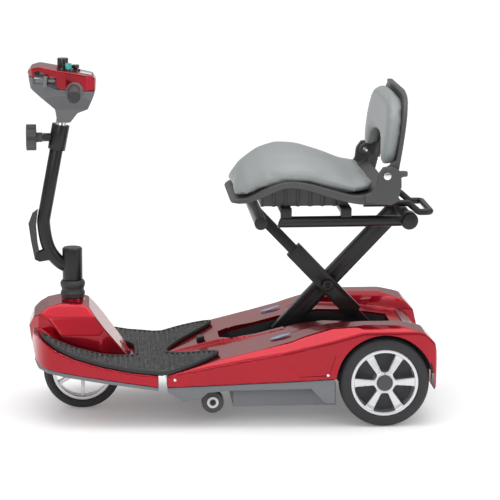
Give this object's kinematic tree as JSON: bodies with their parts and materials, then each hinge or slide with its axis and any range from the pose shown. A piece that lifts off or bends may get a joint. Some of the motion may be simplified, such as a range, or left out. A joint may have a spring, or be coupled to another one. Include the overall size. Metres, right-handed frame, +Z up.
{
  "type": "mobility scooter",
  "caption": "Folding mobility scooter with a single front wheel, leaning tiller with console, ribbed footboard, scissor-lift seat with backrest and small middle rollers.",
  "frame": {"origin": "on the floor, under the middle of the scooter's length and width", "axes": "+X to the rear, +Y to the rider's right, +Z up"},
  "size_m": [0.926, 0.463, 0.813],
  "materials": {
    "red_shell": "metallic red under clear lacquer",
    "grey_panel": "satin mid grey",
    "dark_plastic": "fine-grained charcoal",
    "black_metal": "satin black powder coat",
    "silver_plastic": "silver lacquer",
    "alloy": "satin silver lacquer",
    "chrome": "polished",
    "tyre": "matt",
    "mat_rubber": "speckled and ribbed",
    "soft_rubber": "matt",
    "vinyl": "light grey smooth vinyl",
    "lens_red": "deep red lens",
    "badge": "plain blue-silver",
    "teal": "teal",
    "white_panel": "pale gloss"
  },
  "bodies": {
    "chassis": {"deck_shell": "red_shell", "wheel_liners": "dark_plastic", "deck_skirt": "grey_panel", "rear_bumper": "silver_plastic", "tail_lenses": "lens_red", "rear_mat": "mat_rubber", "deck_catch": "dark_plastic", "deck_badges": "badge", "frame_rails": "black_metal", "frame_front_beam": "black_metal", "frame_rear_beam": "black_metal", "scissor_channel": "black_metal", "battery_tray": "grey_panel", "batteries": "dark_plastic", "drive_unit": "black_metal", "mid_wheel_brackets": "black_metal"},
    "front_section": {"front_shell": "red_shell", "front_skirt": "grey_panel", "front_mat": "mat_rubber", "front_frame": "black_metal"},
    "steering": {"fork": "black_metal", "steering_boot": "soft_rubber", "steering_post": "black_metal", "clamp_collar": "black_metal"},
    "front_wheel": {"front_tyre": "tyre", "front_rim": "alloy"},
    "column_lever": {"fold_lever": "dark_plastic"},
    "clamp": {"clamp_knob": "dark_plastic"},
    "tiller": {"inner_post": "chrome", "head_lower_cover": "grey_panel", "head_upper_cover": "red_shell", "handlebar": "chrome", "hand_grips": "soft_rubber", "display": "white_panel"},
    "throttle": {"throttle_paddles": "grey_panel"},
    "dial": {"speed_dial": "dark_plastic"},
    "ignition": {"key": "teal"},
    "horn": {"horn_button": "dark_plastic"},
    "rear_wheel_left": {"rear_tyre_left": "tyre", "rear_rim_left": "alloy", "rear_hub_cap_left": "dark_plastic"},
    "mid_wheel_left": {"mid_wheel_left": "dark_plastic"},
    "rear_wheel_right": {"rear_tyre_right": "tyre", "rear_rim_right": "alloy", "rear_hub_cap_right": "dark_plastic"},
    "mid_wheel_right": {"mid_wheel_right": "dark_plastic"},
    "arm_one": {"arm_one": "black_metal", "front_cross_tube": "black_metal", "scissor_bolt": "black_metal"},
    "arm_two": {"arm_two": "black_metal", "slide_shoes": "dark_plastic", "rear_cross_tube": "black_metal"},
    "seat": {"seat_rails": "black_metal", "seat_cross_bars": "black_metal", "lift_handle": "black_metal", "seat_pan": "dark_plastic", "seat_cushion": "vinyl", "backrest_bolts": "chrome"},
    "backrest": {"backrest_shell": "dark_plastic", "backrest_pad": "vinyl"}
  },
  "joints": [
    {"name": "lift", "type": "hinge", "parent": "chassis", "child": "arm_one", "pos_m": [0.35303, 0, 0.15008], "axis": [0, -1, 0], "range_deg": [0, 25.5]},
    {"name": "scissor", "type": "hinge", "parent": "arm_one", "child": "arm_two", "pos_m": [0.225, 0, 0.285], "axis": [0, 1, 0], "range_deg": [0, 51]},
    {"name": "seat_level", "type": "hinge", "parent": "arm_two", "child": "seat", "pos_m": [0.39199, 0, 0.46098], "axis": [0, -1, 0], "range_deg": [0, 25.5]},
    {"name": "fold", "type": "hinge", "parent": "chassis", "child": "front_section", "pos_m": [-0.163, 0, 0.114], "axis": [0, 1, 0], "range_deg": [0, 51]},
    {"name": "backrest_fold", "type": "hinge", "parent": "seat", "child": "backrest", "pos_m": [0.336, 0, 0.569], "axis": [0, -1, 0], "range_deg": [0, 70]},
    {"name": "steer", "type": "hinge", "parent": "front_section", "child": "steering", "pos_m": [-0.362, 0, 0.25], "axis": [0, 0, 1], "range_deg": [-35, 35]},
    {"name": "front_wheel_spin", "type": "hinge", "parent": "steering", "child": "front_wheel", "pos_m": [-0.342, 0, 0.09], "axis": [0, 1, 0], "continuous": true},
    {"name": "rear_wheel_spin_left", "type": "hinge", "parent": "chassis", "child": "rear_wheel_left", "pos_m": [0.334, 0, 0.1015], "axis": [0, 1, 0], "continuous": true},
    {"name": "mid_wheel_spin_left", "type": "hinge", "parent": "chassis", "child": "mid_wheel_left", "pos_m": [-0.0496, 0, 0.05], "axis": [0, 1, 0], "continuous": true},
    {"name": "rear_wheel_spin_right", "type": "hinge", "parent": "chassis", "child": "rear_wheel_right", "pos_m": [0.334, 0, 0.1015], "axis": [0, 1, 0], "continuous": true},
    {"name": "mid_wheel_spin_right", "type": "hinge", "parent": "chassis", "child": "mid_wheel_right", "pos_m": [-0.0496, 0, 0.05], "axis": [0, 1, 0], "continuous": true},
    {"name": "tiller_height", "type": "slide", "parent": "steering", "child": "tiller", "axis": [0.1925, 0, 0.9813], "range_m": [0, 0.06]},
    {"name": "clamp_turn", "type": "hinge", "parent": "steering", "child": "clamp", "pos_m": [-0.44, 0, 0.633], "axis": [1, 0, 0], "range_deg": [-90, 0]},
    {"name": "column_lever_swing", "type": "hinge", "parent": "steering", "child": "column_lever", "pos_m": [-0.441, 0, 0.357], "axis": [0, -1, 0], "range_deg": [0, 15]},
    {"name": "throttle_swing", "type": "hinge", "parent": "tiller", "child": "throttle", "pos_m": [-0.417, 0, 0.7685], "axis": [0, 0, 1], "range_deg": [-12, 12], "stiffness_Nm_per_rad": 0.15},
    {"name": "dial_turn", "type": "hinge", "parent": "tiller", "child": "dial", "pos_m": [-0.377, 0, 0.8], "axis": [0, 0, 1], "range_deg": [-135, 135]},
    {"name": "key_turn", "type": "hinge", "parent": "tiller", "child": "ignition", "pos_m": [-0.364, -0.027, 0.795], "axis": [0, 0, 1], "range_deg": [-60, 0]},
    {"name": "horn_press", "type": "slide", "parent": "tiller", "child": "horn", "axis": [0, 0, -1], "range_m": [0, 0.0015], "stiffness_N_per_m": 150}
  ],
  "couplings": [
    {"joint": "scissor", "follows": "lift", "ratio": 2},
    {"joint": "seat_level", "follows": "lift", "ratio": 1},
    {"joint": "fold", "follows": "lift", "ratio": 2}
  ]
}
